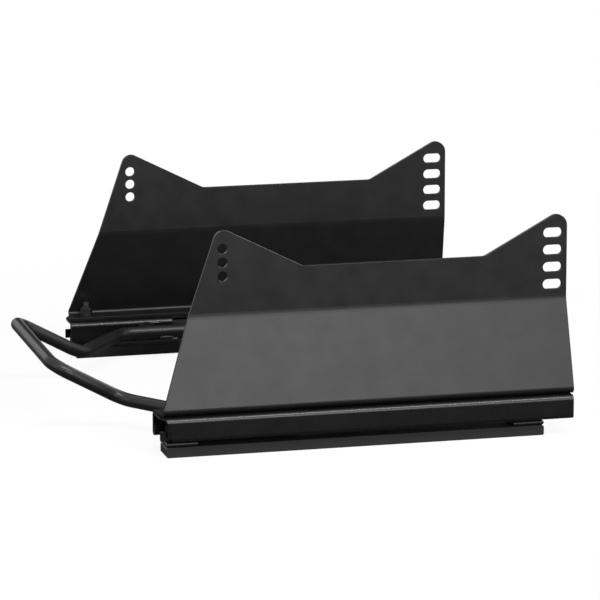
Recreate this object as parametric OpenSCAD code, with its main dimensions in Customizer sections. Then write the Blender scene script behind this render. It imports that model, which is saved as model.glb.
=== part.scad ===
// Seat slide: a pair of rails with folded side brackets, joined by one release bar.
// X runs along the rails (front is -X), Y across them (right is +Y), Z up from the floor.
// Each side is drawn outboard of its own rail centre and mirrored for the left hand.

/* [Lower rails] */
// Distance between the two rail centres
rail_spacing = 400; // [340:5:460]
// Length of the lower rail
foot_l = 343; // [320:1:400]
// Width of the foot bar
foot_w = 25; // [23:0.5:30]
// Height of the foot bar
foot_h = 9; // [6:0.5:14]
// Radius of the upper corners at the ends of the foot bar
foot_r = 2; // [0.5:0.5:2.5]
// Size of the bevel on the lower corners at the ends of the foot bar
foot_bevel = 1; // [0.5:0.25:2]
// Length of each pad between foot bar and runner
pad_l = 28; // [22:1:36]
// Height of each pad
pad_h = 4.5; // [3:0.5:8]
// How far the pad stands back from the side of the foot bar
pad_inset = 0.5; // [0:0.25:1.5]
// Diameter of the floor bolt holes
floor_hole_d = 9; // [6:0.5:11]

/* [Upper rails] */
// Length of the upper rail
upper_l = 374; // [350:1:420]
// Width of the upper rail
upper_w = 38; // [36:0.5:46]
// Height of the upper rail
upper_h = 21; // [20:0.5:26]
// Thickness of the rolled rail steel
rail_t = 2; // [1.6:0.1:2.2]
// Inner radius of the upper rail's top corners
crown_r = 2; // [1:0.25:3]
// Inner radius of the rail lips and hooks
lip_r = 1.2; // [0.8:0.1:1.5]
// How far the upper rail stands behind the middle of the lower one
seat_shift = 10; // [-8:1:16]
// Gap between the pads and the upper rail's lips
lip_rise = 1.5; // [1:0.25:3]
// Height of the turned-up edge of the lip
lip_up = 7; // [5:0.5:8]
// How far the outer wall ends behind the front of the rail
tab_back = 5.5; // [3:0.5:8]
// Width of the corner cut off the rail's top in front of the outer wall
corner_w = 11; // [8:0.5:14]
// Outer radius of the stop tab bent in at the front of the outer wall
tab_r = 4; // [3.5:0.25:5]
// Angle that the stop tab is bent through
tab_turn = 75; // [60:1:75]

/* [Ball guides] */
// Diameter of the bearing balls
ball_d = 4.4; // [4:0.1:4.8]
// Running gap above and below a ball
ball_gap = 0.3; // [0.2:0.05:0.4]
// Gap beside a ball
ball_side = 0.1; // [0.05:0.05:0.3]
// Gap between the hook and the turned-up lip
hook_gap = 0.8; // [0.6:0.1:1]
// Gap between the runner's neck and the lips
neck_gap = 1; // [0.6:0.1:1.5]
// Length of a ball cage
cage_l = 230; // [200:5:240]
// Thickness of the cage strip
cage_t = 0.7; // [0.5:0.1:0.8]
// Gap between the cage strip and the hook
cage_gap = 0.4; // [0.3:0.05:0.5]
// Gap above and below the cage strip
cage_rise = 0.5; // [0.3:0.1:0.8]
// Distance between neighbouring balls
ball_step = 42; // [36:1:44]

/* [Side brackets] */
// Thickness of the bracket sheet
sheet_t = 3; // [2:0.5:4]
// Distance between the front holes and the rear slots
hole_pitch = 300; // [280:1:320]
// Distance from the upper rail's middle back to the middle of the seat holes
hole_shift = 23.5; // [20:0.5:28]
// Diameter of the seat bolt holes and width of the slots
hole_d = 9; // [7:0.5:10]
// End to end length of a slot
slot_l = 17.5; // [14:0.5:22]
// Number of front holes in each bracket
front_holes = 3; // [1:1:4]
// Number of rear slots in each bracket
rear_slots = 4; // [1:1:4]
// Step between the front holes
front_step = 12.2; // [11:0.1:14]
// Step between the rear slots
rear_step = 15.5; // [12:0.5:17]
// Height of the topmost hole and slot
hole_z = 179; // [170:1:182]
// Height of the straight top edge
edge_z = 160.5; // [150:0.5:165]
// Height of the front ear before rounding
front_ear_z = 199; // [195:0.5:210]
// Height of the rear ear before rounding
rear_ear_z = 202; // [198:0.5:212]
// Distance from the front holes back to the front end of the straight top edge
edge_front = 72; // [60:1:84]
// Distance from the rear slots forward to the rear end of the straight top edge
edge_rear = 63; // [50:1:75]
// Distance from the front holes to the front ear's unrounded corner
front_margin = 4; // [3:0.5:8]
// Distance from the slots to the rear edge
rear_margin = 13.2; // [12:0.2:18]
// How much further back the rear edge ends at the flange than at the fold
rear_flare = 2.5; // [0:0.5:5]
// Lean of the front edge from the vertical
front_rake = 18.7; // [15:0.1:19]
// Corner radius of the front ear
front_ear_r = 9; // [6:0.5:10]
// Corner radius of the rear ear
rear_ear_r = 10; // [6:0.5:10]
// Corner radius where the ears meet the straight edge
valley_r = 8; // [4:0.5:14]
// Height of the fold between the upright and the leaning panel
fold_z = 120; // [110:1:125]
// Lean of the lower panel from the vertical
lean = 14; // [8:0.5:16]
// Inner radius of the fold between the panels
fold_r = 20; // [10:1:30]
// Inner radius of the fold between panel and flange
flange_r = 2.5; // [2:0.5:4]
// Distance from the rail centre in to the middle of the upright panel
panel_inset = 8; // [6:0.5:10]
// Distance from the rail centre in to the free edge of the flange
flange_in = 10; // [9:0.5:12]
// How much further forward the flange reaches than the panel
flange_lead = 2.5; // [0:0.5:6]

/* [Fasteners] */
// Diameter of the bracket studs
stud_d = 6; // [5:0.5:6.5]
// Distance of the front stud from the upper rail's front end
stud_front = 18.5; // [16:0.5:24]
// Distance of the rear stud from the upper rail's rear end
stud_rear = 16; // [12:0.5:24]
// Width across the flats of the lock nuts
nut_af = 10; // [9:0.5:11]
// Height of the lock nuts
nut_h = 7.5; // [5:0.25:8]
// Height of the round collar on top of a lock nut
nut_collar = 1.6; // [1:0.1:2]
// Outer diameter of the washers under the nuts
washer_d = 11; // [10:0.5:11]
// Thickness of the washers under the nuts
washer_t = 1.6; // [1:0.1:2]
// Length of stud that stands out of the nut
stud_tip = 4.2; // [1:0.2:5]
// Diameter of the stud's head inside the rail
stud_head_d = 11; // [9:0.5:12]
// Thickness of the stud's head
stud_head_h = 3; // [2:0.25:3.5]
// Paint between the rail and the flange that lies on it
paint_gap = 0.1; // [0.05:0.05:0.3]
// Clearance of a stud in its holes
stud_gap = 0.25; // [0.1:0.05:0.4]

/* [Release bar] */
// Outer diameter of the bar's tube
bar_d = 12; // [10:0.5:13]
// Wall of the bar's tube
bar_wall = 1.5; // [1:0.1:2.5]
// Distance between the two arms
arm_spacing = 190; // [150:5:200]
// Distance from the pivots forward to the grip
grip_reach = 143.5; // [130:0.5:160]
// Height of the grip above the pivots
grip_rise = 34.5; // [24:0.5:45]
// Distance from the pivots forward to the bend at the foot of the arms
arm_reach = 80.5; // [72:0.5:90]
// Distance from the pivots forward to the bend beside the rail
side_reach = 26.5; // [20:0.5:32]
// Distance from the pivots back to the ends of the tube
tail_reach = 62.5; // [40:0.5:70]
// Bend radius of the grip corners
grip_bend = 18; // [14:0.5:24]
// Bend radius at the foot of the arms and beside the rail
arm_bend = 22; // [16:0.5:24]

/* [Lock] */
// Distance from the upper rail's front end back to the pivot
pivot_back = 72.5; // [66:0.5:80]
// Height of the pivot above the upper rail's lower edge
pivot_rise = 11.5; // [11:0.25:12.5]
// Diameter of the pivot pins
pin_d = 8; // [6:0.5:8]
// Running gap round a pin in its bush
pin_gap = 0.05; // [0.02:0.01:0.1]
// Wall of the bush's spigot in the rail
bush_wall = 1; // [0.8:0.1:1.3]
// Outer diameter of the bush's hub
hub_d = 11.5; // [11:0.25:12]
// Length of the hub between rail and lever
hub_l = 3.2; // [3:0.1:4]
// Gap between hub and lever
hub_gap = 0.3; // [0.2:0.05:0.5]
// Thickness of the lever plate
lever_t = 3; // [2:0.25:4]
// Radius of the lever's eye
eye_r = 8.5; // [7:0.25:9]
// Height of the lever's arm
lever_h = 9; // [7:0.5:10]
// Distance between neighbouring lock positions
lock_pitch = 8; // [7:0.5:9]
// Number of teeth on each lever
teeth = 3; // [1:1:4]
// Width of a tooth along the rail
tooth_w = 4; // [3:0.25:4.5]
// Height of a tooth
tooth_h = 3.2; // [2.5:0.1:3.5]
// Distance from the pivot back to the first tooth
tooth_back = 44; // [42:0.5:48]
// Gap round a tooth in its notch
notch_gap = 0.4; // [0.2:0.05:0.5]
// Angle the bar turns between released and locked
release_angle = 6; // [5.5:0.25:7]
// Lock positions that the seat can move forward from here
steps_forward = 13; // [8:1:13]
// Lock positions that the seat can move back from here
steps_back = 11; // [8:1:11]
// Free space at each end of the lock window
window_gap = 17.5; // [12:0.5:19]
// Wire of the return springs
spring_wire = 1.2; // [0.8:0.1:1.3]
// Turns of a return spring
spring_turns = 1.6; // [1.1:0.1:1.6]
// Gap between the spring and the hub
spring_gap = 0.4; // [0.3:0.1:0.6]
// Length of a return spring's legs
spring_leg = 14; // [8:1:18]

/* [Hidden] */
$fn = 64;

// Paint, bare steel and plastic
black = "#26272a";
black_dark = "#1d1e20";
steel = "#8d9095";
nylon = "#2f3033";

// Overlap that keeps a cut from ending on a face
cut = 1;
// Facets of a spring wire and points in one turn of it
wire_sides = 8;
turn_points = 24;
// How much thicker a bend of the tube is on each face, and how far the straights run into it
bend_swell = 0.03;
bend_lap = 0.5;
// The same for the folds of the brackets
fold_swell = 0.02;
fold_lap = 0.2;
// Points on a rounded corner of the bracket's outline
corner_points = 12;

// Heights of the stacked rail
runner_z = foot_h + pad_h;
upper_z = runner_z + lip_rise;
upper_top = upper_z + upper_h;
ceiling_z = upper_top - rail_t;
lip_z = upper_z + rail_t;
hook_z = lip_z + ball_d + 2 * ball_gap;
deck_z = ceiling_z - ball_d - 2 * ball_gap;
flange_z = upper_top + paint_gap;

// Distances out from a rail's centre
wall_in = upper_w / 2 - rail_t;
lip_out = wall_in - ball_d - 2 * ball_side;
lip_in = lip_out - rail_t;
neck_out = lip_in - neck_gap;
hook_in = lip_out + hook_gap;
hook_out = hook_in + rail_t;
ball_v = (lip_out + wall_in) / 2;
cage_v = hook_out + cage_gap;
lever_v = upper_w / 2 + hub_l + hub_gap;
bar_v = lever_v + lever_t + bar_d / 2;

// Places along the rails
front_x = seat_shift - upper_l / 2;
rear_x = seat_shift + upper_l / 2;
floor_hole_x = (foot_l - pad_l) / 2;
stud_xs = [front_x + stud_front, rear_x - stud_rear];
hole_mid_x = seat_shift + hole_shift;
front_hole_x = hole_mid_x - hole_pitch / 2;
rear_hole_x = hole_mid_x + hole_pitch / 2;
pivot_x = front_x + pivot_back;
pivot_z = upper_z + pivot_rise;
tooth_xs = [for (i = [0:teeth - 1]) pivot_x + tooth_back + i * lock_pitch];
cage_x = seat_shift / 2;
ball_count = floor((cage_l - 2 * ball_d) / ball_step) + 1;
ball_xs = [for (i = [0:ball_count - 1]) cage_x + (i - (ball_count - 1) / 2) * ball_step];
// The inner cage is only tall behind the reach of the lock teeth
tall_x = tooth_xs[teeth - 1] + tooth_w + (steps_forward + steps_back) * lock_pitch / 4 + ball_d;

// A piece drawn outboard of the right-hand rail's centre, put on the side asked for
module on_side(side) {
    mirror([0, side < 0 ? 1 : 0, 0]) translate([0, rail_spacing / 2, 0]) children();
}

// A section drawn as (outboard, up), swept along X from x0 to x1
module along_rail(x0, x1) {
    translate([x0, 0, 0]) rotate([90, 0, 90]) linear_extrude(x1 - x0) children();
}

// An outline drawn as (along, up), given thickness outboard from v0 to v1
module upright(v0, v1) {
    translate([0, v1, 0]) rotate([90, 0, 0]) linear_extrude(v1 - v0) children();
}

// A round bar or hole across the rail, at x and z, from v0 to v1
module across(x, z, v0, v1, d) {
    translate([x, v1, z]) rotate([90, 0, 0]) cylinder(h = v1 - v0, d = d);
}

// The part of a ring from angle a0 to a1, less than half a turn
module ring_sector(r0, r1, a0, a1) {
    difference() {
        circle(r1);
        circle(r0);
        rotate(a1) translate([-2 * r1, 0]) square([4 * r1, 2 * r1]);
        rotate(a0) translate([-2 * r1, -2 * r1]) square([4 * r1, 2 * r1]);
    }
}

// Folded sheet in section. Each leg is [length, turn, inner radius]; the sheet lies left of the path.
// With a swell, the bends are a hair thicker than the legs, which run a little way into them
module folded(legs, t, swell = 0, i = 0) {
    leg = legs[i];
    lap = swell > 0 ? fold_lap : 0;
    start = i > 0 ? -lap : 0;
    stop = i < len(legs) - 1 ? leg[0] + lap : leg[0];
    translate([start, 0]) square([stop - start, t]);
    if (i < len(legs) - 1) {
        if (leg[1] > 0) {
            translate([leg[0], t + leg[2]]) {
                ring_sector(leg[2] - swell, leg[2] + t + swell, -90, leg[1] - 90);
                rotate(leg[1]) translate([0, -t - leg[2]]) folded(legs, t, swell, i + 1);
            }
        } else {
            translate([leg[0], -leg[2]]) {
                ring_sector(leg[2] - swell, leg[2] + t + swell, 90 + leg[1], 90);
                rotate(leg[1]) translate([0, leg[2]]) folded(legs, t, swell, i + 1);
            }
        }
    }
}

// Unit vector, and the points of a corner p between a and b rounded to radius r
function unit(v) = v / norm(v);
function corner(a, p, b, r) =
    let (u = unit(a - p), w = unit(b - p), half = acos(u * w) / 2, mid = p + unit(u + w) * r / sin(half),
        s = p + u * r / tan(half) - mid, e = p + w * r / tan(half) - mid, sweep = 180 - 2 * half,
        turn = cross(s, e) > 0 ? 1 : -1)
    [for (i = [0:corner_points]) let (k = turn * sweep * i / corner_points)
        mid + [s.x * cos(k) - s.y * sin(k), s.x * sin(k) + s.y * cos(k)]];
// A polygon whose corners [x, y, radius] are rounded; a radius of 0 leaves a corner sharp
function rounded(pts) =
    let (n = len(pts), xy = [for (p = pts) [p.x, p.y]])
    [for (i = [0:n - 1]) each pts[i][2] > 0
        ? corner(xy[(i + n - 1) % n], xy[i], xy[(i + 1) % n], pts[i][2]) : [xy[i]]];

// Lower rails

// Solid bar that lies on the floor, bolted down through both ends
module foot_bar(side) {
    color(black) on_side(side) difference() {
        upright(-foot_w / 2, foot_w / 2) difference() {
            translate([-foot_l / 2, 0]) square([foot_l, foot_h]);
            for (sx = [-1, 1]) translate([sx * foot_l / 2, 0]) mirror([sx > 0 ? 1 : 0, 0]) {
                polygon([[-cut, -cut], [foot_bevel + cut, -cut], [-cut, foot_bevel + cut]]);
                difference() {
                    translate([-cut, foot_h - foot_r]) square(foot_r + cut);
                    translate([foot_r, foot_h - foot_r]) circle(foot_r);
                }
            }
        }
        floor_holes();
    }
}

// Bolt holes through foot bar, pad and runner
module floor_holes() {
    for (sx = [-1, 1])
        translate([sx * floor_hole_x, 0, -cut]) cylinder(h = upper_z + rail_t + 2 * cut, d = floor_hole_d);
}

// Pad that lifts the runner off the foot bar at one end
module pad(side, sx) {
    color(black) on_side(side) difference() {
        translate([sx * floor_hole_x, 0, foot_h]) intersection() {
            along_rail(-pad_l / 2, pad_l / 2) round_edged(foot_w - 2 * pad_inset, pad_h);
            upright(-foot_w / 2, foot_w / 2) round_edged(pad_l, pad_h);
        }
        floor_holes();
    }
}

// A strip of width w and height h whose two edges are fully rounded
module round_edged(w, h) {
    translate([(h - w) / 2, 0]) square([w - h, h]);
    for (s = [-1, 1]) translate([s * (w - h) / 2, h / 2]) circle(d = h);
}

// Rolled hat section whose hooks hang inside the upper rail; the inboard hook is notched for the lock
module runner(side) {
    hook_leg = deck_z - rail_t - lip_r - hook_z;
    deck_leg = hook_in - neck_out - 2 * lip_r;
    neck_leg = deck_z - 2 * rail_t - 2 * lip_r - runner_z;
    base_leg = 2 * (neck_out - rail_t - lip_r);
    color(black_dark) on_side(side) difference() {
        along_rail(-foot_l / 2, foot_l / 2) translate([-hook_in, hook_z]) rotate(90)
            folded([[hook_leg, -90, lip_r], [deck_leg, -90, lip_r], [neck_leg, 90, lip_r],
                [base_leg, 90, lip_r], [neck_leg, -90, lip_r], [deck_leg, -90, lip_r],
                [hook_leg, 0, 0]], rail_t);
        floor_holes();
        for (x = [tooth_xs[0] - steps_forward * lock_pitch : lock_pitch :
            tooth_xs[teeth - 1] + steps_back * lock_pitch])
            translate([x - tooth_w / 2 - notch_gap, -hook_out - cut, hook_z - cut])
                cube([tooth_w + 2 * notch_gap, rail_t + 2 * cut, cut + 2 * notch_gap + tooth_h]);
    }
}

// Upper rails

// Rolled C section that wraps round the runner, with a window for the lock and a stop tab at the front
module upper_rail(side) {
    up_leg = lip_up - lip_r;
    lip_leg = wall_in - lip_out - 2 * lip_r;
    wall_leg = ceiling_z - lip_z - lip_r - crown_r;
    top_leg = 2 * (wall_in - crown_r);
    window_l = tooth_xs[teeth - 1] - tooth_xs[0] + 2 * window_gap;
    tab_x = front_x + tab_back + tab_r;
    tab_z = lip_z + lip_r;
    tab_top = ceiling_z - crown_r;
    color(black) on_side(side) {
        difference() {
            along_rail(front_x, rear_x) translate([-lip_out, lip_z + lip_up]) rotate(-90)
                folded([[up_leg, -90, lip_r], [lip_leg, -90, lip_r], [wall_leg, -90, crown_r],
                    [top_leg, -90, crown_r], [wall_leg, -90, lip_r], [lip_leg, -90, lip_r],
                    [up_leg, 0, 0]], rail_t);
            for (x = stud_xs)
                translate([x, 0, ceiling_z - cut]) cylinder(h = rail_t + 2 * cut, d = stud_d + 2 * stud_gap);
            across(pivot_x, pivot_z, -upper_w / 2 - cut, cut - wall_in, bush_d());
            translate([tooth_xs[0] - window_gap, -upper_w / 2 - cut, upper_z - cut])
                cube([window_l, upper_w / 2 + cut - lip_out, upper_h + 2 * cut]);
            translate([front_x - cut, lip_out, upper_z - cut])
                cube([tab_x - front_x + cut, upper_w / 2 - lip_out + cut, tab_top - upper_z + cut]);
            translate([0, 0, tab_top - cut]) linear_extrude(upper_h)
                polygon([[front_x - cut, upper_w / 2 - corner_w], [front_x, upper_w / 2 - corner_w],
                    [front_x + tab_back, upper_w / 2 + cut], [front_x - cut, upper_w / 2 + cut]]);
        }
        translate([tab_x, upper_w / 2 - tab_r, tab_z]) rotate([0, 0, 90])
            linear_extrude(tab_top - tab_z) ring_sector(tab_r - rail_t, tab_r, 0, tab_turn);
    }
}

// Diameter of the bush's spigot, which fills the hole in the rail's wall
function bush_d() = pin_d + 2 * pin_gap + 2 * bush_wall;

// Side brackets

// Folded sheet: flange on the rail, leaning panel, upright panel with ears for the seat bolts
module side_bracket(side) {
    bend = 90 + lean;
    outer_r = flange_r + sheet_t;
    lean_rise = fold_z - flange_z - outer_r * (1 + sin(lean)) - fold_r * sin(lean) / 2;
    lean_leg = lean_rise / cos(lean);
    drift = outer_r * cos(lean) - lean_leg * sin(lean) - fold_r * (1 - cos(lean));
    knee_v = sheet_t / 2 - panel_inset - drift;
    rear_edge = rear_hole_x + rear_margin;
    ear_x = front_hole_x - front_margin;
    function front_at(z) = ear_x - (front_ear_z - z) * tan(front_rake);
    lip_x = front_at(flange_z) - flange_lead;
    lead_z = flange_z + outer_r;
    color(black) on_side(side) difference() {
        intersection() {
            along_rail(lip_x - cut, rear_edge + rear_flare + cut) translate([-flange_in, flange_z])
                folded([[knee_v + flange_in, bend, flange_r], [lean_leg, -lean, fold_r],
                    [max(front_ear_z, rear_ear_z) - fold_z, 0, 0]], sheet_t, fold_swell);
            upright(-upper_w, upper_w) polygon(rounded([
                [lip_x, flange_z - cut, 0], [rear_edge + rear_flare, flange_z - cut, 0],
                [rear_edge, fold_z, 0], [rear_edge, rear_ear_z, rear_ear_r],
                [rear_hole_x - edge_rear, edge_z, valley_r],
                [front_hole_x + edge_front, edge_z, valley_r], [ear_x, front_ear_z, front_ear_r],
                [front_at(lead_z), lead_z, 0], [lip_x, lead_z, 0]]));
        }
        // The front edge runs on across the flange, so it leans forward there too
        translate([0, 0, flange_z - cut]) linear_extrude(outer_r + 2 * cut)
            polygon([[lip_x, -flange_in - cut], [front_at(lead_z), knee_v + flange_r],
                [front_at(lead_z), upper_w], [lip_x - cut, upper_w], [lip_x - cut, -flange_in - cut]]);
        for (x = stud_xs)
            translate([x, 0, flange_z - cut]) cylinder(h = sheet_t + 2 * cut, d = stud_d + 2 * stud_gap);
        for (i = [0:front_holes - 1])
            across(front_hole_x, hole_z - i * front_step, -upper_w, upper_w, hole_d);
        for (i = [0:rear_slots - 1])
            slot(rear_hole_x, hole_z - i * rear_step);
    }
}

// Slot along X through the upright panel
module slot(x, z) {
    run = slot_l - hole_d;
    for (sx = [-1, 1])
        across(x + sx * run / 2, z, -upper_w, upper_w, hole_d);
    translate([x - run / 2, -upper_w, z - hole_d / 2]) cube([run, 2 * upper_w, hole_d]);
}

// Ball guides

// Strip that spaces the balls on one side of a rail; the inboard one clears the lock teeth
module cage(side, flank) {
    z0 = lip_z + cage_rise;
    z1 = ceiling_z - cage_rise;
    short_z = deck_z - rail_t;
    v0 = flank > 0 ? cage_v : -cage_v - cage_t;
    start_x = flank > 0 ? cage_x - cage_l / 2 : max(tall_x, cage_x - cage_l / 2);
    color(nylon) on_side(side) difference() {
        union() {
            translate([cage_x - cage_l / 2, v0, short_z]) cube([cage_l, cage_t, z1 - short_z]);
            translate([start_x, v0, z0]) cube([cage_x + cage_l / 2 - start_x, cage_t, z1 - z0]);
        }
        for (x = ball_xs, z = [upper_ball_z(), lower_ball_z()])
            if (has_ball(x, z, flank)) across(x, z, v0 - cut, v0 + cage_t + cut, ball_d);
    }
}

// Heights of the two ball rows
function upper_ball_z() = (deck_z + ceiling_z) / 2;
function lower_ball_z() = (lip_z + hook_z) / 2;
// The lower inboard row has balls only where the cage is tall
function has_ball(x, z, flank) = flank > 0 || z > hook_z || x > tall_x + ball_d;

// All the balls of one rail
module balls(side) {
    color(steel) on_side(side)
        for (flank = [-1, 1], x = ball_xs, z = [upper_ball_z(), lower_ball_z()])
            if (has_ball(x, z, flank)) translate([x, flank * ball_v, z]) sphere(d = ball_d);
}

// Fasteners

// Something repeated at every stud
module at_studs() {
    for (side = [-1, 1]) on_side(side)
        for (x = stud_xs) translate([x, 0, 0]) children();
}

// Studs with flat heads under the rail's top
module bracket_studs() {
    tip_z = flange_z + sheet_t + washer_t + nut_h + stud_tip;
    color(black_dark) at_studs() {
        translate([0, 0, ceiling_z - stud_head_h]) cylinder(h = stud_head_h, d = stud_head_d);
        translate([0, 0, ceiling_z - stud_head_h]) cylinder(h = tip_z - ceiling_z + stud_head_h, d = stud_d);
    }
}

// Plain washers under the nuts
module stud_washers() {
    color(black_dark) at_studs() translate([0, 0, flange_z + sheet_t]) difference() {
        cylinder(h = washer_t, d = washer_d);
        translate([0, 0, -cut]) cylinder(h = washer_t + 2 * cut, d = stud_d + 2 * stud_gap);
    }
}

// Hexagon lock nuts with a round collar on top
module lock_nuts() {
    color(black_dark) at_studs() translate([0, 0, flange_z + sheet_t + washer_t]) difference() {
        union() {
            cylinder(h = nut_h - nut_collar, d = nut_af / cos(30), $fn = 6);
            cylinder(h = nut_h, d = nut_af);
        }
        translate([0, 0, -cut]) cylinder(h = nut_h + 2 * cut, d = stud_d + 2 * pin_gap);
    }
}

// Lock and release bar

// Flanged bush in the rail's inner wall
module pivot_bush(side) {
    color(nylon) on_side(side) difference() {
        union() {
            across(pivot_x, pivot_z, -upper_w / 2 - hub_l, -upper_w / 2, hub_d);
            across(pivot_x, pivot_z, -upper_w / 2 - hub_l, -wall_in, bush_d());
        }
        across(pivot_x, pivot_z, -lever_v, cut - wall_in, pin_d + 2 * pin_gap);
    }
}

// Pin welded into the lever, turning in the bush
module pivot_pin(side) {
    color(steel) on_side(side) across(pivot_x, pivot_z, -lever_v - lever_t, -wall_in, pin_d);
}

// Lever plate with its eye, an arm and the comb of lock teeth, shown released
module lock_lever(side) {
    locked_z = hook_z + notch_gap;
    tip_v = (lip_out + hook_in) / 2;
    arm_top = pivot_z + lever_h / 2;
    comb_x0 = tooth_xs[0] - tooth_w;
    comb_x1 = tooth_xs[teeth - 1] + tooth_w;
    comb_z = pivot_z - (pivot_z - locked_z) * cos(release_angle) - (comb_x1 - pivot_x) * sin(release_angle);
    color(black) on_side(side) {
        upright(-lever_v - lever_t, -lever_v) difference() {
            union() {
                translate([pivot_x, pivot_z]) circle(eye_r);
                polygon([[pivot_x, arm_top], [comb_x1, arm_top], [comb_x1, comb_z], [comb_x0, comb_z],
                    [pivot_x + eye_r, arm_top - lever_h], [pivot_x, arm_top - lever_h]]);
            }
            translate([pivot_x, pivot_z]) circle(d = pin_d);
        }
        released() for (x = tooth_xs)
            translate([x - tooth_w / 2, -lever_v - lever_t / 2, locked_z])
                cube([tooth_w, lever_v + lever_t / 2 - tip_v, tooth_h]);
    }
}

// Something drawn in its locked place, turned about the pivot to where it stands when released
module released() {
    translate([pivot_x, 0, pivot_z]) rotate([0, release_angle, 0])
        translate([-pivot_x, 0, -pivot_z]) children();
}

// Directions, bends and turns along a route of [point, bend radius]
function way(pts, i) = unit(pts[i + 1][0] - pts[i][0]);
function bend_angle(pts, i) = acos(way(pts, i - 1) * way(pts, i));
function tangent_l(pts, i) = i == 0 || i == len(pts) - 1 ? 0 : pts[i][1] * tan(bend_angle(pts, i) / 2);
function inward(pts, i) = unit(way(pts, i) - way(pts, i - 1) * (way(pts, i - 1) * way(pts, i)));
function carried(pts, i) =
    let (a = bend_angle(pts, i)) inward(pts, i) * cos(a) - way(pts, i - 1) * sin(a);
function twist(pts, i) = i == 1 || i == len(pts) - 1 ? 0
    : let (from = carried(pts, i - 1), to = inward(pts, i))
        atan2(cross(from, to) * way(pts, i - 1), from * to);

// Tube along +X from the route's point i: a straight length, a bend to the left, then the rest of it.
// Bends are a hair thicker than the straight lengths, which run a little way into them
module bent_tube(pts, d, wall, i = 0) {
    run = norm(pts[i + 1][0] - pts[i][0]) - tangent_l(pts, i) - tangent_l(pts, i + 1);
    rotate([twist(pts, i + 1), 0, 0]) {
        start = i > 0 ? -bend_lap : 0;
        stop = i < len(pts) - 2 ? run + bend_lap : run;
        translate([start, 0, 0]) rotate([0, 90, 0]) linear_extrude(stop - start) tube_section(d, wall);
        if (i < len(pts) - 2) {
            a = bend_angle(pts, i + 1);
            r = pts[i + 1][1];
            far = 2 * (r + d);
            translate([run, r, 0]) {
                difference() {
                    rotate_extrude() translate([r, 0])
                        tube_section(d + 2 * bend_swell, wall + 2 * bend_swell);
                    translate([-far, -far, -d]) cube([far, 2 * far, 2 * d]);
                    rotate([0, 0, a]) translate([0, -far, -d]) cube([far, 2 * far, 2 * d]);
                }
                rotate([0, 0, a]) translate([0, -r, 0]) bent_tube(pts, d, wall, i + 1);
            }
        }
    }
}

// Ring section of the tube
module tube_section(d, wall) {
    difference() {
        circle(d = d);
        circle(d = d - 2 * wall);
    }
}

// U-shaped tube from one lever, round the grip, to the other; both halves start at the middle of the grip
module release_bar() {
    bar_y = rail_spacing / 2 - bar_v;
    grip = [pivot_x - grip_reach, 0, pivot_z + grip_rise];
    route = [[grip, 0], [grip + [0, arm_spacing / 2, 0], grip_bend],
        [[pivot_x - arm_reach, arm_spacing / 2, pivot_z], arm_bend],
        [[pivot_x - side_reach, bar_y, pivot_z], arm_bend],
        [[pivot_x + tail_reach, bar_y, pivot_z], 0]];
    n = inward(route, 1);
    color(black) for (side = [0, 1]) mirror([0, side, 0])
        multmatrix([[0, n.x, n.z, grip.x], [1, 0, 0, 0], [0, n.z, -n.x, grip.z], [0, 0, 0, 1]])
            bent_tube(route, bar_d, bar_wall);
}

// Coil round the bush's hub with two straight legs, drawn as rings of points
module return_spring(side) {
    coil_r = hub_d / 2 + spring_gap + spring_wire / 2;
    pitch = (hub_l - spring_wire) / spring_turns;
    steps = ceil(spring_turns * turn_points);
    a0 = 90;
    span = 360 * spring_turns;
    function spoke(k) = [cos(a0 + span * k), 0, sin(a0 + span * k)];
    function along(k) = [sin(a0 + span * k), 0, -cos(a0 + span * k)];
    function centre(k) = coil_r * spoke(k) + [0, spring_wire / 2 + pitch * spring_turns * k, 0];
    rings = concat([[centre(0) + spring_leg * along(0), spoke(0)]],
        [for (i = [0:steps]) [centre(i / steps), spoke(i / steps)]],
        [[centre(1) - spring_leg * along(1), spoke(1)]]);
    n = len(rings);
    pts = [for (ring = rings, j = [0:wire_sides - 1])
        let (b = 360 * j / wire_sides) ring[0] + spring_wire / 2 * (cos(b) * ring[1] + sin(b) * [0, 1, 0])];
    sides = [for (i = [0:n - 2], j = [0:wire_sides - 1])
        let (k = (j + 1) % wire_sides)
        [i * wire_sides + j, i * wire_sides + k, (i + 1) * wire_sides + k, (i + 1) * wire_sides + j]];
    ends = [[for (j = [wire_sides - 1:-1:0]) j], [for (j = [0:wire_sides - 1]) (n - 1) * wire_sides + j]];
    color(black_dark) on_side(side) translate([pivot_x, -upper_w / 2 - hub_l, pivot_z])
        polyhedron(pts, concat(sides, ends), convexity = 6);
}

foot_bar(-1);  // foot_bar_left
foot_bar(1);  // foot_bar_right
pad(-1, -1);  // front_pad_left
pad(1, -1);  // front_pad_right
pad(-1, 1);  // rear_pad_left
pad(1, 1);  // rear_pad_right
runner(-1);  // runner_left
runner(1);  // runner_right
upper_rail(-1);  // upper_rail_left
upper_rail(1);  // upper_rail_right
side_bracket(-1);  // side_bracket_left
side_bracket(1);  // side_bracket_right
cage(-1, 1);  // outer_cage_left
cage(1, 1);  // outer_cage_right
cage(-1, -1);  // inner_cage_left
cage(1, -1);  // inner_cage_right
balls(-1);  // bearing_balls_left
balls(1);  // bearing_balls_right
bracket_studs();
stud_washers();
lock_nuts();
pivot_bush(-1);  // pivot_bush_left
pivot_bush(1);  // pivot_bush_right
return_spring(-1);  // return_spring_left
return_spring(1);  // return_spring_right
release_bar();
lock_lever(-1);  // lock_lever_left
lock_lever(1);  // lock_lever_right
pivot_pin(-1);  // pivot_pin_left
pivot_pin(1);  // pivot_pin_right
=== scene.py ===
"""Finishes, weld beads, stud threads, studio and camera for a pair of seat slide rails."""

import logging
import math
from dataclasses import dataclass, field
from enum import Enum

import bmesh
import bpy
from mathutils import Matrix, Vector


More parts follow.
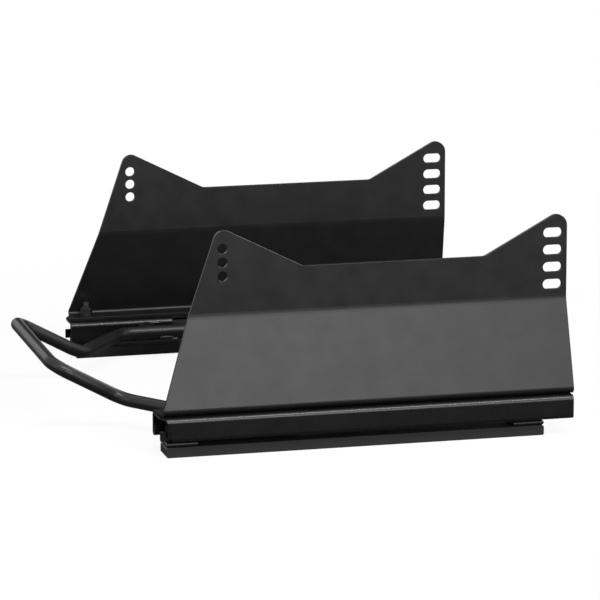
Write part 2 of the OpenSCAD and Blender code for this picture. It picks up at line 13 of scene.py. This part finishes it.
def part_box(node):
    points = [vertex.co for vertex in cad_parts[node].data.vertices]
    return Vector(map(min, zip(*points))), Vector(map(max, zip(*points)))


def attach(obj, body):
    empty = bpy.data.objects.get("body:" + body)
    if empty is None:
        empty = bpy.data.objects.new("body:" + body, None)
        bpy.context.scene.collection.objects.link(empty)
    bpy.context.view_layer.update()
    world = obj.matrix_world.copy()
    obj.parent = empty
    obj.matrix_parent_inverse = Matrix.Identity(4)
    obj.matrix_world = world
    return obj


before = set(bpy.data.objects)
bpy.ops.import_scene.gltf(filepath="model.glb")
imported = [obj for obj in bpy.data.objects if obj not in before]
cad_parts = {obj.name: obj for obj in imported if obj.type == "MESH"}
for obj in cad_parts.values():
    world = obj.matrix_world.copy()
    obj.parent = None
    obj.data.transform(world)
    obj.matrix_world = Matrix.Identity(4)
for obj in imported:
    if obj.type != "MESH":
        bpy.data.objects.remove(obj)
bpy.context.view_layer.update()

MM = 0.001
IMAGE_PX = 600
WHITE = (1.0, 1.0, 1.0, 1.0)
# Nearly all values of a noise texture lie between these two
NOISE_LOW, NOISE_HIGH = 0.3, 0.7
# A wave texture of scale 1 runs through this many radians in one unit of length
WAVE_RADIANS = 20
# A Mix node has inputs and an output for each kind of value under the same names, so they go by number
MIX_FACTOR, MIX_FLOAT_A, MIX_FLOAT_B, MIX_COLOR_A, MIX_COLOR_B = 0, 2, 3, 6, 7
MIX_FLOAT_OUT, MIX_COLOR_OUT = 0, 2

log = logging.getLogger("seat_slide")


class Coat(Enum):
    """The record's material slots, and two variants of them that only CAD nodes wear: a powder drawn lighter
    as painted light, and a black zinc drawn darker as painted shade.
    """

    POWDER = "powder_coat"
    MATT_POWDER_PAINTED_LIGHT = "powder_coat, matt, painted lighter"
    DIP_PAINT = "e_coat"
    BLACK_STEEL = "black_steel"
    BLACK_STEEL_PAINTED_SHADE = "black_steel, painted shade"
    BRIGHT_STEEL = "bright_steel"
    NYLON = "nylon"


class Side(Enum):
    """The two rails, with the sign of Y on which each lies."""

    LEFT = -1
    RIGHT = 1


def linear(hex_color: str) -> tuple[float, float, float, float]:
    """Turn an sRGB hex colour into linear values.

    Args:
        hex_color: The colour as "#rrggbb".

    Returns:
        Linear red, green, blue and an alpha of 1.
    """
    parts = [int(hex_color[i:i + 2], 16) / 255 for i in (1, 3, 5)]
    # The sRGB curve is a straight line near black and a power of 2.4 above it
    red, green, blue = (c / 12.92 if c <= 0.04045 else ((c + 0.055) / 1.055) ** 2.4 for c in parts)
    return red, green, blue, 1.0


def add_node(tree: bpy.types.NodeTree, kind: str, values: dict[str | int, object] | None = None,
             links: dict[str | int, bpy.types.NodeSocket] | None = None,
             **settings: object) -> bpy.types.Node:
    """Add a shader node with its settings, socket values and links.

    Args:
        tree: The node tree that gets the node.
        kind: The node's type name.
        values: Socket name or number to a constant.
        links: Socket name or number to the output that feeds it.
        **settings: Properties of the node itself.

    Returns:
        The new node.
    """
    node = tree.nodes.new(kind)
    for key, value in settings.items():
        setattr(node, key, value)
    for key, value in (values or {}).items():
        node.inputs[key].default_value = value
    for key, socket in (links or {}).items():
        tree.links.new(socket, node.inputs[key])
    return node


def new_material(name: str) -> tuple[bpy.types.Material, bpy.types.NodeTree]:
    """Make a material with an empty node tree.

    Args:
        name: The material's name.

    Returns:
        The material and its tree.
    """
    material = bpy.data.materials.new(name)
    material.use_nodes = True
    material.node_tree.nodes.clear()
    return material, material.node_tree


def mirrored(tree: bpy.types.NodeTree, ray: bpy.types.Node) -> bpy.types.NodeSocket:
    """Pick out the rays that gloss and glass send on.

    Args:
        tree: The node tree of the table or the world.
        ray: Its Light Path node.

    Returns:
        A socket that is 1 for such a ray and 0 for any other.
    """
    either = add_node(tree, "ShaderNodeMath",
                      links={0: ray.outputs["Is Glossy Ray"], 1: ray.outputs["Is Transmission Ray"]},
                      operation="MAXIMUM")
    return either.outputs[0]


@dataclass(frozen=True)
class BlackPaint:
    """Black paint on steel.

    Tone and gloss drift softly, edges are rounded, and a dust film dulls level faces.
    """

    name: str
    color: str
    thin_color: str
    roughness: tuple[float, float]
    specular: float
    cloud_mm: float = 18.0
    cloud_detail: float = 4.0
    # Real orange peel is about 1 mm across; it is drawn coarser so that it shows at this distance
    peel_mm: float = 2.6
    peel_detail: float = 1.0
    peel_depth_mm: float = 0.006
    grit_mm: float = 0.9
    grit_detail: float = 2.0
    grit_depth_mm: float = 0.0025
    edge_mm: float = 0.55
    edge_samples: int = 6
    # How level a face must be, as the upward part of its normal, for dust to begin and for a full film
    dust_level: tuple[float, float] = (0.90, 0.99)
    dust_roughness: float = 0.75
    dust_specular: float = 0.05

    def build(self) -> bpy.types.Material:
        """Make the material.

        Returns:
            Paint whose tone, gloss and relief vary a little over the surface.
        """
        material, tree = new_material(self.name)
        coords = add_node(tree, "ShaderNodeTexCoord")
        patterns = ((self.cloud_mm, self.cloud_detail), (self.peel_mm, self.peel_detail),
                    (self.grit_mm, self.grit_detail))
        cloud, peel, grit = (
            add_node(tree, "ShaderNodeTexNoise", {"Scale": 1 / (size * MM), "Detail": detail},
                     {"Vector": coords.outputs["Object"]}).outputs["Fac"]
            for size, detail in patterns)
        facing = add_node(tree, "ShaderNodeSeparateXYZ", links={0: coords.outputs["Normal"]})
        dust = add_node(tree, "ShaderNodeMapRange",
                        {"From Min": self.dust_level[0], "From Max": self.dust_level[1]},
                        {"Value": facing.outputs["Z"]}).outputs["Result"]
        tone = add_node(tree, "ShaderNodeMix",
                        {MIX_COLOR_A: linear(self.thin_color), MIX_COLOR_B: linear(self.color)},
                        {MIX_FACTOR: cloud}, data_type="RGBA")
        gloss = add_node(tree, "ShaderNodeMapRange",
                         {"From Min": NOISE_LOW, "From Max": NOISE_HIGH,
                          "To Min": self.roughness[0], "To Max": self.roughness[1]}, {"Value": cloud})
        dulled = add_node(tree, "ShaderNodeMix", {MIX_FLOAT_B: self.dust_roughness},
                          {MIX_FACTOR: dust, MIX_FLOAT_A: gloss.outputs["Result"]})
        shine = add_node(tree, "ShaderNodeMix",
                         {MIX_FLOAT_A: self.specular, MIX_FLOAT_B: self.dust_specular}, {MIX_FACTOR: dust})
        edge = add_node(tree, "ShaderNodeBevel", {"Radius": self.edge_mm * MM}, samples=self.edge_samples)
        wave = add_node(tree, "ShaderNodeBump", {"Distance": self.peel_depth_mm * MM},
                        {"Height": peel, "Normal": edge.outputs["Normal"]})
        fine = add_node(tree, "ShaderNodeBump", {"Distance": self.grit_depth_mm * MM},
                        {"Height": grit, "Normal": wave.outputs["Normal"]})
        skin = add_node(tree, "ShaderNodeBsdfPrincipled",
                        links={"Base Color": tone.outputs[MIX_COLOR_OUT],
                               "Roughness": dulled.outputs[MIX_FLOAT_OUT],
                               "Specular IOR Level": shine.outputs[MIX_FLOAT_OUT],
                               "Normal": fine.outputs["Normal"]})
        add_node(tree, "ShaderNodeOutputMaterial", links={"Surface": skin.outputs["BSDF"]})
        return material


@dataclass(frozen=True)
class PlatedSteel:
    """Plated steel hardware: metal with turning marks and a slightly patchy plating."""

    name: str
    color: str
    shade: str
    roughness: tuple[float, float]
    patch_mm: float = 6.0
    patch_detail: float = 3.0
    # Real turning marks are a fraction of a millimetre apart; they are drawn coarser so that they show
    mark_mm: float = 2.2
    mark_wobble: float = 2.0
    mark_depth_mm: float = 0.006
    edge_mm: float = 0.25
    edge_samples: int = 4

    def build(self) -> bpy.types.Material:
        """Make the material.

        Returns:
            Metal with marks that run round the Z axis of the hardware.
        """
        material, tree = new_material(self.name)
        place = add_node(tree, "ShaderNodeTexCoord").outputs["Object"]
        patch = add_node(tree, "ShaderNodeTexNoise",
                         {"Scale": 1 / (self.patch_mm * MM), "Detail": self.patch_detail}, {"Vector": place})
        mark_scale = 2 * math.pi / (WAVE_RADIANS * self.mark_mm * MM)
        marks = add_node(tree, "ShaderNodeTexWave", {"Scale": mark_scale, "Distortion": self.mark_wobble},
                         {"Vector": place}, bands_direction="Z")
        tone = add_node(tree, "ShaderNodeMix",
                        {MIX_COLOR_A: linear(self.shade), MIX_COLOR_B: linear(self.color)},
                        {MIX_FACTOR: patch.outputs["Fac"]}, data_type="RGBA")
        gloss = add_node(tree, "ShaderNodeMapRange",
                         {"From Min": NOISE_LOW, "From Max": NOISE_HIGH,
                          "To Min": self.roughness[0], "To Max": self.roughness[1]},
                         {"Value": patch.outputs["Fac"]})
        edge = add_node(tree, "ShaderNodeBevel", {"Radius": self.edge_mm * MM}, samples=self.edge_samples)
        relief = add_node(tree, "ShaderNodeBump", {"Distance": self.mark_depth_mm * MM},
                          {"Height": marks.outputs["Fac"], "Normal": edge.outputs["Normal"]})
        skin = add_node(tree, "ShaderNodeBsdfPrincipled", {"Metallic": 1.0},
                        {"Base Color": tone.outputs[MIX_COLOR_OUT], "Roughness": gloss.outputs["Result"],
                         "Normal": relief.outputs["Normal"]})
        add_node(tree, "ShaderNodeOutputMaterial", links={"Surface": skin.outputs["BSDF"]})
        return material


@dataclass(frozen=True)
class MouldedNylon:
    """Glass filled nylon, moulded: a matt plastic with a speckled skin."""

    name: str = "black glass filled nylon"
    color: str = "#121213"
    fleck: str = "#1b1b1c"
    roughness: float = 0.62
    fleck_mm: float = 0.6
    fleck_detail: float = 3.0
    fleck_depth_mm: float = 0.01

    def build(self) -> bpy.types.Material:
        """Make the material.

        Returns:
            Plastic with pale flecks where glass fibre lies near the skin.
        """
        material, tree = new_material(self.name)
        place = add_node(tree, "ShaderNodeTexCoord").outputs["Object"]
        speckle = add_node(tree, "ShaderNodeTexNoise",
                           {"Scale": 1 / (self.fleck_mm * MM), "Detail": self.fleck_detail},
                           {"Vector": place})
        tone = add_node(tree, "ShaderNodeMix",
                        {MIX_COLOR_A: linear(self.color), MIX_COLOR_B: linear(self.fleck)},
                        {MIX_FACTOR: speckle.outputs["Fac"]}, data_type="RGBA")
        relief = add_node(tree, "ShaderNodeBump", {"Distance": self.fleck_depth_mm * MM},
                          {"Height": speckle.outputs["Fac"]})
        skin = add_node(tree, "ShaderNodeBsdfPrincipled", {"Roughness": self.roughness},
                        {"Base Color": tone.outputs[MIX_COLOR_OUT], "Normal": relief.outputs["Normal"]})
        add_node(tree, "ShaderNodeOutputMaterial", links={"Surface": skin.outputs["BSDF"]})
        return material


@dataclass(frozen=True)
class WhiteLaminate:
    """White laminated table top: matt and even, so the eye sees plain white with a soft shadow on it."""

    name: str = "white laminate"
    # Grey to the lamps, so that the table throws only a little of their light up at the object
    color: str = "#646464"
    # Light added to what the camera sees of the lit table, which brings it up to white outside the shadow
    lift: float = 0.88
    # Share of plain white that the camera sees in the table, which lightens the shadow; it grows to all white
    # away from the object. Reflections see the smaller share
    glow: float = 0.30
    fade_m: tuple[float, float] = (0.30, 0.80)
    mirror_glow: float = 0.022

    def build(self) -> bpy.types.Material:
        """Make the material.

        Returns:
            A matt surface that is white to the camera and keeps the object's shadow.
        """
        material, tree = new_material(self.name)
        ray = add_node(tree, "ShaderNodeLightPath")
        eye = ray.outputs["Is Camera Ray"]
        matt = add_node(tree, "ShaderNodeBsdfDiffuse", {"Color": linear(self.color)})
        level = add_node(tree, "ShaderNodeMath", {1: self.lift}, {0: eye}, operation="MULTIPLY")
        raised = add_node(tree, "ShaderNodeEmission", {"Color": WHITE}, {"Strength": level.outputs[0]})
        lit = add_node(tree, "ShaderNodeAddShader", links={0: matt.outputs[0], 1: raised.outputs[0]})
        place = add_node(tree, "ShaderNodeTexCoord").outputs["Object"]
        away = add_node(tree, "ShaderNodeVectorMath", links={0: place}, operation="LENGTH")
        white = add_node(tree, "ShaderNodeMapRange",
                         {"From Min": self.fade_m[0], "From Max": self.fade_m[1],
                          "To Min": self.glow, "To Max": 1.0},
                         {"Value": away.outputs["Value"]}, interpolation_type="SMOOTHSTEP")
        seen = add_node(tree, "ShaderNodeMath", links={0: eye, 1: white.outputs["Result"]},
                        operation="MULTIPLY")
        share = add_node(tree, "ShaderNodeMath", {1: self.mirror_glow},
                         {0: mirrored(tree, ray), 2: seen.outputs[0]}, operation="MULTIPLY_ADD")
        plain = add_node(tree, "ShaderNodeEmission", {"Color": WHITE, "Strength": 1.0})
        mixed = add_node(tree, "ShaderNodeMixShader",
                         links={0: share.outputs[0], 1: lit.outputs[0], 2: plain.outputs[0]})
        add_node(tree, "ShaderNodeOutputMaterial", links={"Surface": mixed.outputs[0]})
        return material


class Finishes:
    """One built material for each coat."""

    def __init__(self) -> None:
        """Build every finish once."""
        finishes: dict[Coat, BlackPaint | PlatedSteel | MouldedNylon] = {
            # Powder bakes to a satin, slightly grey black with a faint orange peel
            Coat.POWDER: BlackPaint("satin black powder coat", "#1f1f1f", "#101010", (0.34, 0.39), 0.36),
            # The powder on the bars that lie on the floor is duller, and drawn greyer and lighter as painted
            # light for the brighter faces of the bars
            Coat.MATT_POWDER_PAINTED_LIGHT: BlackPaint("matt black powder coat, painted lighter", "#282828", "#232323", (0.44, 0.50), 0.36),
            # Dip paint is thinner, deeper and glossier, with sharper edges and hardly any peel
            Coat.DIP_PAINT: BlackPaint("black dip paint", "#0a0a0a", "#080808", (0.25, 0.30), 0.45,
                                       peel_depth_mm=0.002, grit_depth_mm=0.0008, edge_mm=0.35),
            # Black zinc is dark, but still shines as a metal does
            Coat.BLACK_STEEL: PlatedSteel("black zinc plate", "#5a5a5a", "#484848", (0.30, 0.42)),
            # A darker copy of black zinc for the runners, which paints in the shade they lie in inside the
            # rails
            Coat.BLACK_STEEL_PAINTED_SHADE: PlatedSteel("greased black zinc plate", "#1c1c1d", "#151516", (0.40, 0.52)),
            # Clear zinc is a bright, faintly blue metal with soft reflections
            Coat.BRIGHT_STEEL: PlatedSteel("clear zinc plate", "#b4b6ba", "#9b9da2", (0.24, 0.36)),
            # Moulded nylon is nearly black, dry and matt
            Coat.NYLON: MouldedNylon(),
        }
        self.materials: dict[Coat, bpy.types.Material] = {
            coat: finish.build() for coat, finish in finishes.items()}

    def dress(self, node: str, coat: Coat) -> None:
        """Give a CAD node its finish.

        Args:
            node: The node's name.
            coat: The finish.
        """
        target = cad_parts[node]
        for slot in target.material_slots:
            slot.material = self.materials[coat]
        log.info("dressed %s in %s", node, self.materials[coat].name)

    def piece(self, mesh: bmesh.types.BMesh, name: str, body: str, coat: Coat) -> None:
        """Turn a bmesh into a smooth piece that sits at the origin and rides on a body.

        Args:
            mesh: The shape, in the row's frame. It is freed.
            name: The piece's name.
            body: The CAD body that carries it.
            coat: Its finish.
        """
        data = bpy.data.meshes.new(name)
        mesh.to_mesh(data)
        mesh.free()
        data.shade_smooth()
        thing = bpy.data.objects.new(name, data)
        bpy.context.scene.collection.objects.link(thing)
        data.materials.append(self.materials[coat])
        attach(thing, body)
        log.info("built %s on %s", name, body)


def sided(*stems: str) -> list[str]:
    """Name the left-hand and right-hand node of each stem.

    Args:
        *stems: Node names without their side.

    Returns:
        The names of both sides.
    """
    return [f"{stem}_{side.name.lower()}" for stem in stems for side in Side]


@dataclass
class FloorRails:
    """What is bolted to the floor: foot bars, pads and runners."""

    bars: list[str] = field(default_factory=lambda: sided("foot_bar"))
    pads: list[str] = field(default_factory=lambda: sided("front_pad", "rear_pad"))
    rolled: list[str] = field(default_factory=lambda: sided("runner"))

    def dress(self, finishes: Finishes) -> None:
        """Paint the bars, drawn lighter as painted light, and the pads, and give the runners black zinc drawn
        darker as painted shade.

        Args:
            finishes: The built materials.
        """
        for node in self.bars:
            # The bars' lighter powder is painted light
            finishes.dress(node, Coat.MATT_POWDER_PAINTED_LIGHT)
        for node in self.pads:
            finishes.dress(node, Coat.POWDER)
        for node in self.rolled:
            # The runners' darker black zinc is painted shade
            finishes.dress(node, Coat.BLACK_STEEL_PAINTED_SHADE)


@dataclass
class BallGuides:
    """Cages and balls between runner and upper rail."""

    cages: list[str] = field(default_factory=lambda: sided("outer_cage", "inner_cage"))
    balls: list[str] = field(default_factory=lambda: sided("bearing_balls"))

    def dress(self, finishes: Finishes) -> None:
        """Give cages and balls their finish.

        Args:
            finishes: The built materials.
        """
        for node in self.cages:
            finishes.dress(node, Coat.NYLON)
        for node in self.balls:
            finishes.dress(node, Coat.BRIGHT_STEEL)


@dataclass
class Carriage:
    """Upper rails, side brackets and their hardware, with the threads on the stud tips."""

    painted: list[str] = field(default_factory=lambda: sided("side_bracket"))
    dipped: list[str] = field(default_factory=lambda: sided("upper_rail"))
    plated: list[str] = field(default_factory=lambda: ["bracket_studs", "stud_washers", "lock_nuts",
                                                       *sided("return_spring")])
    bushes: list[str] = field(default_factory=lambda: sided("pivot_bush"))
    body: str = "carriage"
    # Radius of the studs' heads, which reach the sides of the studs' box
    head_r_mm: float = 5.5
    stud_r_mm: float = 3.0
    pitch_mm: float = 1.0
    # The solid stud is as thick as its thread, so the ridge stands only a little proud of it
    thread_depth_mm: float = 0.14
    # Share of the pitch that stays flat on either side of the ridge
    flat_share: float = 0.1
    turn_steps: int = 24

    def dress(self, finishes: Finishes) -> None:
        """Give every node its finish.

        Args:
            finishes: The built materials.
        """
        for node in self.painted:
            finishes.dress(node, Coat.POWDER)
        for node in self.dipped:
            finishes.dress(node, Coat.DIP_PAINT)
        for node in self.plated:
            finishes.dress(node, Coat.BLACK_STEEL)
        for node in self.bushes:
            finishes.dress(node, Coat.NYLON)

    def build(self, finishes: Finishes) -> None:
        """Wind a thread round each stud tip that stands out of its nut.

        Args:
            finishes: The built materials.
        """
        low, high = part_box("bracket_studs")
        nut_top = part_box("lock_nuts")[1][2]
        head_r = self.head_r_mm * MM
        # The ridge itself is nearly a pitch high, so one turn fewer stays below the stud's tip
        turns = int((high[2] - nut_top) / (self.pitch_mm * MM)) - 1
        mesh = bmesh.new()
        for x in (low[0] + head_r, high[0] - head_r):
            for y in (low[1] + head_r, high[1] - head_r):
                self.wind(mesh, Vector((x, y, nut_top)), turns)
        finishes.piece(mesh, "stud_threads", self.body, Coat.BLACK_STEEL)

    def wind(self, mesh: bmesh.types.BMesh, foot: Vector, turns: int) -> None:
        """Spin one thread ridge upwards round a stud.

        Args:
            mesh: The bmesh that gets it.
            foot: Where the stud's axis leaves the nut.
            turns: Whole turns of thread.
        """
        pitch = self.pitch_mm * MM
        flat = self.flat_share * pitch
        root = self.stud_r_mm * MM
        crest = (self.stud_r_mm + self.thread_depth_mm) * MM
        profile = ((root, flat), (crest, pitch / 2), (root, pitch - flat))
        ridge = [mesh.verts.new(foot + Vector((r, 0, z))) for r, z in profile]
        edges = [mesh.edges.new(pair) for pair in zip(ridge, ridge[1:])]
        bmesh.ops.spin(mesh, geom=ridge + edges, cent=foot, axis=(0, 0, 1),
                       dvec=(0, 0, pitch / self.turn_steps), angle=2 * math.pi * turns,
                       steps=turns * self.turn_steps)
        bmesh.ops.recalc_face_normals(mesh, faces=mesh.faces)


@dataclass
class ReleaseGear:
    """Release bar, levers and pins, with the weld beads under the bar."""

    painted: list[str] = field(default_factory=lambda: ["release_bar", *sided("lock_lever")])
    pins: list[str] = field(default_factory=lambda: sided("pivot_pin"))
    body: str = "release_lever"
    bead_r_mm: float = 2.4
    bead_l_mm: float = 13.0
    ripple_mm: float = 1.5
    # The ripples are saw-toothed: growth over one of them, as a share of the bead's radius
    ripple_depth: float = 0.16
    ring_points: int = 12
    rings_per_ripple: int = 4
    # Power of the sine that rounds a bead's ends; a smaller one leaves them blunter
    end_power: float = 0.25
    # Distances back from the pivot to the start of each bead
    starts_mm: tuple[float, ...] = (10.5, 40.0)
    # Height of the bead's middle below the tube's, as a share of the tube's radius
    drop: float = 0.88
    # Distance of the bead's middle from the lever, which brings it out under the tube's inner side
    bead_in_mm: float = 8.8

    def dress(self, finishes: Finishes) -> None:
        """Paint the bar and levers, and plate the pins.

        Args:
            finishes: The built materials.
        """
        for node in self.painted:
            finishes.dress(node, Coat.POWDER)
        for node in self.pins:
            finishes.dress(node, Coat.BRIGHT_STEEL)

    def build(self, finishes: Finishes) -> None:
        """Lay beads under the tube, where it lies against each lever.

        Args:
            finishes: The built materials.
        """
        for side in Side:
            pin_low, pin_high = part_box(f"pivot_pin_{side.name.lower()}")
            lever_low, lever_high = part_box(f"lock_lever_{side.name.lower()}")
            plate_y = lever_high[1] if side is Side.LEFT else lever_low[1]
            pivot = Vector(((pin_low[0] + pin_high[0]) / 2, plate_y, (pin_low[2] + pin_high[2]) / 2))
            tube_r = self.tube_radius(pivot)
            mesh = bmesh.new()
            for start in self.starts_mm:
                foot = pivot + Vector((start * MM, -side.value * self.bead_in_mm * MM, -self.drop * tube_r))
                self.bead(mesh, foot)
            finishes.piece(mesh, f"weld_beads_{side.name.lower()}", self.body, Coat.POWDER)

    def tube_radius(self, pivot: Vector) -> float:
        """Read the tube's radius from its lowest point, because its lowest runs lie at the pivot's height.

        Args:
            pivot: The pivot, at the tube's height.

        Returns:
            The tube's outer radius.
        """
        return pivot.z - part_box("release_bar")[0][2]

    def bead(self, mesh: bmesh.types.BMesh, foot: Vector) -> None:
        """Extrude a ring along X, swelling and shrinking it into ripples.

        Args:
            mesh: The bmesh that gets the bead.
            foot: Middle of the bead's front end.
        """
        rings = round(self.bead_l_mm / self.ripple_mm) * self.rings_per_ripple
        step = self.bead_l_mm * MM / rings
        turn = Matrix.Rotation(math.pi / 2, 4, "Y")
        made = bmesh.ops.create_circle(mesh, radius=self.bead_r_mm * MM, segments=self.ring_points,
                                       matrix=Matrix.Translation(foot) @ turn)
        ring = made["verts"]
        first = list(ring)
        size = 1.0
        for i in range(1, rings + 1):
            # Each edge is met at both of its ends, and the dict keeps it once and in order
            around = dict.fromkeys(e for v in ring for e in v.link_edges if all(w in ring for w in e.verts))
            grown = bmesh.ops.extrude_edge_only(mesh, edges=list(around))
            ring = [g for g in grown["geom"] if isinstance(g, bmesh.types.BMVert)]
            bmesh.ops.translate(mesh, vec=(step, 0, 0), verts=ring)
            taper = math.sin(math.pi * i / (rings + 1)) ** self.end_power
            wanted = taper * (1 + self.ripple_depth * (i % self.rings_per_ripple) / self.rings_per_ripple)
            centre = foot + Vector((step * i, 0, 0))
            bmesh.ops.scale(mesh, vec=Vector((1, wanted / size, wanted / size)), verts=ring,
                            space=Matrix.Translation(-centre))
            size = wanted
        for loop in (first, ring):
            bmesh.ops.contextual_create(mesh, geom=loop)
        bmesh.ops.recalc_face_normals(mesh, faces=mesh.faces)


@dataclass(frozen=True)
class Softbox:
    """A rectangular studio lamp, with its places and sizes in metres."""

    name: str
    place: tuple[float, float, float]
    aim: tuple[float, float, float]
    size: tuple[float, float]
    watts: float

    def build(self) -> None:
        """Hang the lamp and turn it to its aim."""
        lamp = bpy.data.lights.new(self.name, "AREA")
        lamp.shape = "RECTANGLE"
        lamp.size, lamp.size_y = self.size
        lamp.energy = self.watts
        thing = bpy.data.objects.new(self.name, lamp)
        thing.location = self.place
        thing.rotation_euler = (Vector(self.aim) - Vector(self.place)).to_track_quat("-Z", "Y").to_euler()
        bpy.context.scene.collection.objects.link(thing)


@dataclass
class Studio:
    """White table, soft lamps and the camera."""

    floor_m: float = 14.0
    floor_gap_mm: float = 0.05
    laminate: WhiteLaminate = WhiteLaminate()
    # Strength of the white world as a light; the camera and reflections see it at full strength
    world_light: float = 0.25
    # The camera's lens, place and angles were fitted to the photograph
    focal_px: float = 4146.0
    sensor_mm: float = 36.0
    camera_place_mm: tuple[float, float, float] = (-923.7, -3622.9, 890.6)
    camera_tilt_deg: float = 12.124
    camera_turn_deg: float = -14.337
    # The rear lamp is there for the views from behind
    lamps: tuple[Softbox, ...] = (
        Softbox("high softbox", (0.1, -1.0, 1.5), (0.0, 0.0, 0.1), (1.6, 0.30), 25.0),
        Softbox("front softbox", (0.20, -1.76, 0.56), (0.0, 0.0, 0.1), (1.16, 0.61), 11.3),
        Softbox("left softbox", (-2.2, -0.9, 1.0), (-0.1, 0.0, 0.05), (1.2, 1.2), 6.0),
        Softbox("rear softbox", (1.8, 1.9, 1.5), (0.0, 0.0, 0.1), (1.8, 0.9), 16.0),
    )

    def build(self) -> None:
        """Set up table, world, lamps and camera."""
        self.table()
        self.sky()
        for lamp in self.lamps:
            lamp.build()
        self.camera()
        bpy.context.scene.view_settings.view_transform = "Standard"

    def table(self) -> None:
        """Lay the white table, which keeps the object's shadow."""
        mesh = bmesh.new()
        bmesh.ops.create_grid(mesh, x_segments=1, y_segments=1, size=self.floor_m / 2,
                              matrix=Matrix.Translation((0, 0, -self.floor_gap_mm * MM)))
        data = bpy.data.meshes.new("white_table")
        mesh.to_mesh(data)
        mesh.free()
        thing = bpy.data.objects.new("white_table", data)
        bpy.context.scene.collection.objects.link(thing)
        data.materials.append(self.laminate.build())

    def sky(self) -> None:
        """Make the world white to the eye and to reflections, and a soft light to everything else."""
        world = bpy.data.worlds.new("white studio")
        bpy.context.scene.world = world
        world.use_nodes = True
        tree = world.node_tree
        tree.nodes.clear()
        ray = add_node(tree, "ShaderNodeLightPath")
        seen = add_node(tree, "ShaderNodeMath",
                        links={0: ray.outputs["Is Camera Ray"], 1: mirrored(tree, ray)}, operation="MAXIMUM")
        level = add_node(tree, "ShaderNodeMapRange", {"To Min": self.world_light, "To Max": 1.0},
                         {"Value": seen.outputs[0]})
        back = add_node(tree, "ShaderNodeBackground", {"Color": WHITE}, {"Strength": level.outputs["Result"]})
        add_node(tree, "ShaderNodeOutputWorld", links={"Surface": back.outputs[0]})

    def camera(self) -> None:
        """Stand the camera where the photograph was taken from."""
        data = bpy.data.cameras.new("camera")
        data.sensor_width = self.sensor_mm
        data.lens = self.focal_px * self.sensor_mm / IMAGE_PX
        thing = bpy.data.objects.new("camera", data)
        thing.location = Vector(self.camera_place_mm) * MM
        # A camera turned by 90 degrees about X looks level
        up_deg = 90 - self.camera_tilt_deg
        thing.rotation_euler = (math.radians(up_deg), 0, math.radians(self.camera_turn_deg))
        bpy.context.scene.collection.objects.link(thing)
        bpy.context.scene.camera = thing


def main() -> None:
    """Dress every node, build the extra pieces and set up the studio."""
    logging.basicConfig(level=logging.INFO)
    finishes = Finishes()
    FloorRails().dress(finishes)
    BallGuides().dress(finishes)
    carriage = Carriage()
    carriage.dress(finishes)
    carriage.build(finishes)
    release_gear = ReleaseGear()
    release_gear.dress(finishes)
    release_gear.build(finishes)
    Studio().build()


if __name__ == "__main__":
    main()
